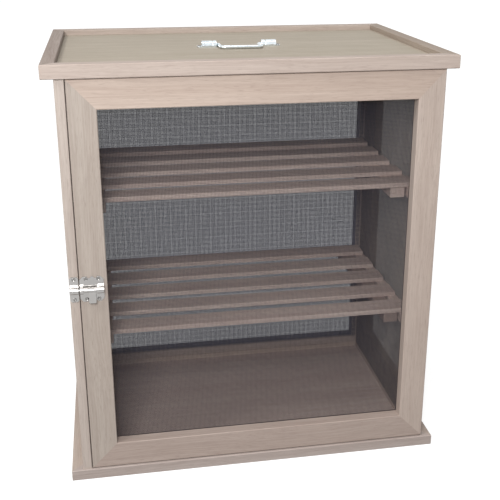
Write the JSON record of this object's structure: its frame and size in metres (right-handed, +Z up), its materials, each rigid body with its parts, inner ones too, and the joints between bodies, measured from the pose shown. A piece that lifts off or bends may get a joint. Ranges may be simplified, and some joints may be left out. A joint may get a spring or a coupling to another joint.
{
  "type": "screened food cupboard",
  "caption": "Free-standing wooden food cupboard: framed screen door on butt hinges, screened sides and back, slatted racks, tray-edged lid with drop handle, and a barrel bolt.",
  "frame": {"origin": "on the floor, in the middle of the overall width and depth", "axes": "+X to the right seen from the front, +Y from the door towards the back, +Z up"},
  "size_m": [0.51, 0.3546, 0.563],
  "materials": {
    "bare_wood": "planed and sanded, no varnish",
    "plywood_panel": "smooth veneered panel, no varnish",
    "wire_cloth": "fine woven fly screen, drawn as an open net",
    "bright_plating": "bright nickel plating"
  },
  "bodies": {
    "root": {"back_bottom_rail": "bare_wood", "back_left_stile": "bare_wood", "back_right_stile": "bare_wood", "back_screen": "wire_cloth", "back_top_rail": "bare_wood", "base_edge_front": "bare_wood", "base_edge_left": "bare_wood", "base_edge_rear": "bare_wood", "base_edge_right": "bare_wood", "bolt_keeper": "bright_plating", "case_screws": "bright_plating", "door_stop": "bare_wood", "floor_panel": "plywood_panel", "handle_brackets": "bright_plating", "hinge_frame_leaves": "bright_plating", "hinge_pins": "bright_plating", "left_bottom_rail": "bare_wood", "left_front_stile": "bare_wood", "left_rear_stile": "bare_wood", "left_side_screen": "wire_cloth", "left_top_rail": "bare_wood", "lid_edge_front": "bare_wood", "lid_edge_left": "bare_wood", "lid_edge_rear": "bare_wood", "lid_edge_right": "bare_wood", "lid_panel": "plywood_panel", "lower_batten_left": "bare_wood", "lower_batten_right": "bare_wood", "lower_cleat_left": "bare_wood", "lower_cleat_right": "bare_wood", "lower_slat_1": "bare_wood", "lower_slat_2": "bare_wood", "lower_slat_3": "bare_wood", "lower_slat_4": "bare_wood", "lower_slat_5": "bare_wood", "right_bottom_rail": "bare_wood", "right_front_stile": "bare_wood", "right_rear_stile": "bare_wood", "right_side_screen": "wire_cloth", "right_top_rail": "bare_wood", "upper_batten_left": "bare_wood", "upper_batten_right": "bare_wood", "upper_cleat_left": "bare_wood", "upper_cleat_right": "bare_wood", "upper_slat_1": "bare_wood", "upper_slat_2": "bare_wood", "upper_slat_3": "bare_wood", "upper_slat_4": "bare_wood", "upper_slat_5": "bare_wood"},
    "door": {"door_left_stile": "bare_wood", "door_right_stile": "bare_wood", "door_top_rail": "bare_wood", "door_bottom_rail": "bare_wood", "door_screen": "wire_cloth", "door_screen_beads": "bare_wood", "hinge_door_leaves": "bright_plating", "door_screws": "bright_plating", "bolt_plate": "bright_plating"},
    "bolt": {"bolt_rod": "bright_plating"},
    "handle": {"handle_bail": "bright_plating"}
  },
  "joints": [
    {"name": "door_swing", "type": "hinge", "parent": "root", "child": "door", "pos_m": [0.2432, -0.14945, 0.28], "axis": [0, 0, 1], "range_deg": [0, 180]},
    {"name": "bolt_slide", "type": "slide", "parent": "door", "child": "bolt", "axis": [-1, 0, 0], "range_m": [0, 0.006]},
    {"name": "handle_lift", "type": "hinge", "parent": "root", "child": "handle", "pos_m": [0.0027, 0.0028, 0.5572], "axis": [-1, 0, 0], "range_deg": [0, 180]}
  ]
}
